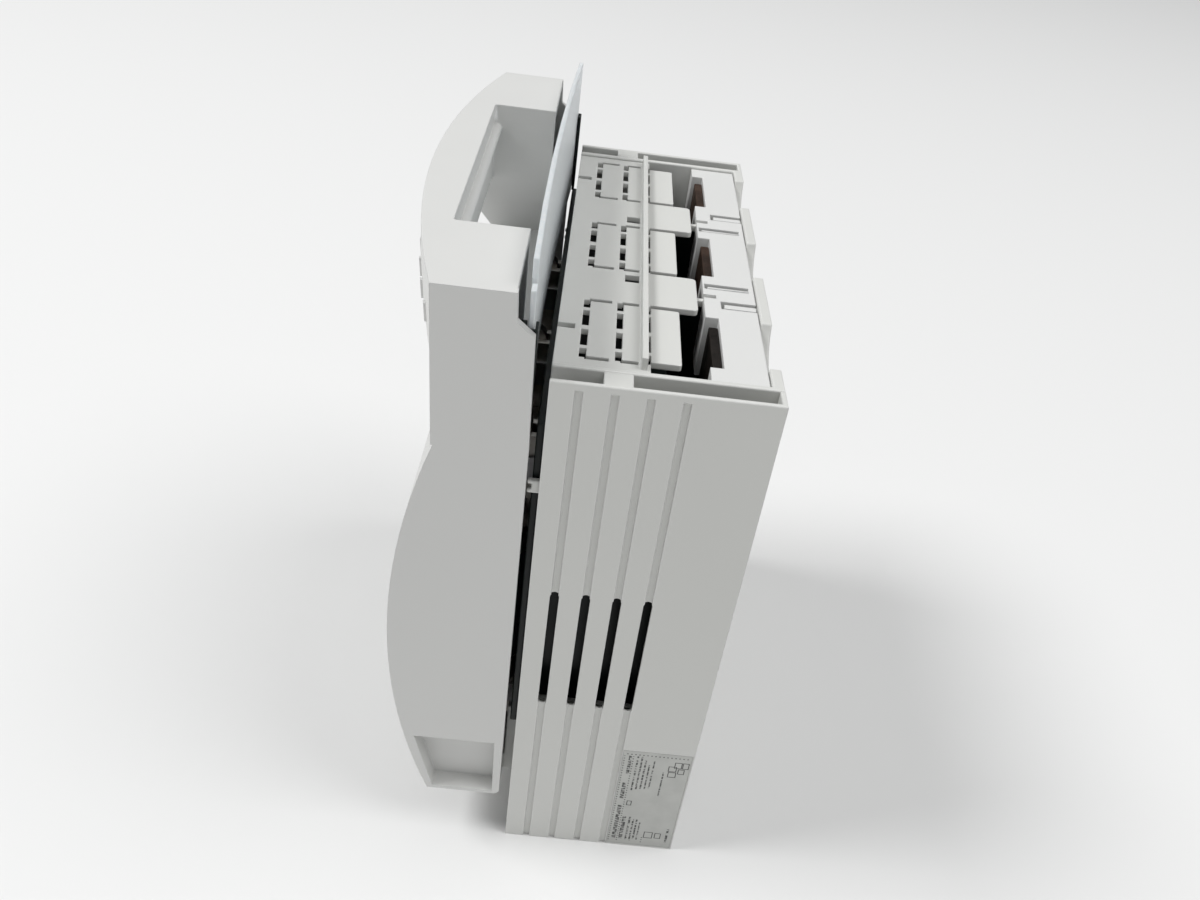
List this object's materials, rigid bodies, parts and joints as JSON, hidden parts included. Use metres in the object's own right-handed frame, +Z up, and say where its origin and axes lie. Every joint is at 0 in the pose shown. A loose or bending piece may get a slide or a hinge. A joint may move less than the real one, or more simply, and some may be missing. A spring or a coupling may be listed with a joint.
{
  "type": "fused disconnect switch",
  "caption": "Three-pole fused disconnect switch with a tilting cover that carries knife-blade fuses, a bail handle and a clear sliding hand guard.",
  "frame": {"origin": "on the resting plane, under the centre of the body's bounding box", "axes": "front with the cover and handle faces -Y, back with the mounting holes faces +Y, width along X, +Z up towards the handle"},
  "size_m": [0.184, 0.1142, 0.252],
  "materials": {
    "base_plastic": "light warm grey moulded plastic, satin",
    "terminal_plastic": "paler grey moulded plastic, satin",
    "cover_plastic": "light warm grey moulded plastic with a fine grain",
    "black_plastic": "black moulding compound, slightly glossy",
    "copper": "dull brown copper",
    "plated_copper": "dull silver plating",
    "steel": "zinc-plated steel",
    "fuse_tube": "dark fuse tube",
    "label": "silver-grey film label with plain rows, boxes and dots, no lettering",
    "clear_plastic": "clear plastic with light frosting"
  },
  "bodies": {
    "base": {"base_housing": "base_plastic", "side_cover_right": "base_plastic", "side_cover_left": "base_plastic", "top_cover": "base_plastic", "bottom_cover": "base_plastic", "terminal_block_top": "terminal_plastic", "terminal_block_bottom": "terminal_plastic", "contact_block": "black_plastic", "block_screws": "steel", "phase_barriers": "black_plastic", "upper_jaw_1": "plated_copper", "upper_jaw_2": "plated_copper", "upper_jaw_3": "plated_copper", "lower_jaw_1": "plated_copper", "lower_jaw_2": "plated_copper", "lower_jaw_3": "plated_copper", "jaw_springs": "steel", "jaw_screws": "steel", "top_bar_1": "copper", "top_bar_2": "copper", "top_bar_3": "copper", "bottom_bar_1": "copper", "bottom_bar_2": "copper", "bottom_bar_3": "copper", "terminal_nuts": "steel", "arc_plates": "steel", "hinge_brackets": "base_plastic", "bracket_screws": "steel", "rating_label": "label"},
    "cover": {"cover_shell": "cover_plastic", "hinge_pins": "steel", "fuse_frame": "black_plastic", "frame_screws": "steel", "fuse_clips": "steel", "clip_rivets": "steel", "fuse_tube_1": "fuse_tube", "fuse_tube_2": "fuse_tube", "fuse_tube_3": "fuse_tube", "fuse_caps_1": "plated_copper", "fuse_caps_2": "plated_copper", "fuse_caps_3": "plated_copper", "fuse_blades_1": "plated_copper", "fuse_blades_2": "plated_copper", "fuse_blades_3": "plated_copper", "inspection_lenses": "clear_plastic", "guard_rails": "black_plastic"},
    "guard": {"hand_guard": "clear_plastic"}
  },
  "joints": [
    {"name": "cover_hinge", "type": "hinge", "parent": "base", "child": "cover", "pos_m": [0, -0.01855, 0.033], "axis": [1, 0, 0], "range_deg": [0, 80]},
    {"name": "guard_slide", "type": "slide", "parent": "cover", "child": "guard", "axis": [0, 0, 1], "range_m": [-0.01, 0]}
  ]
}
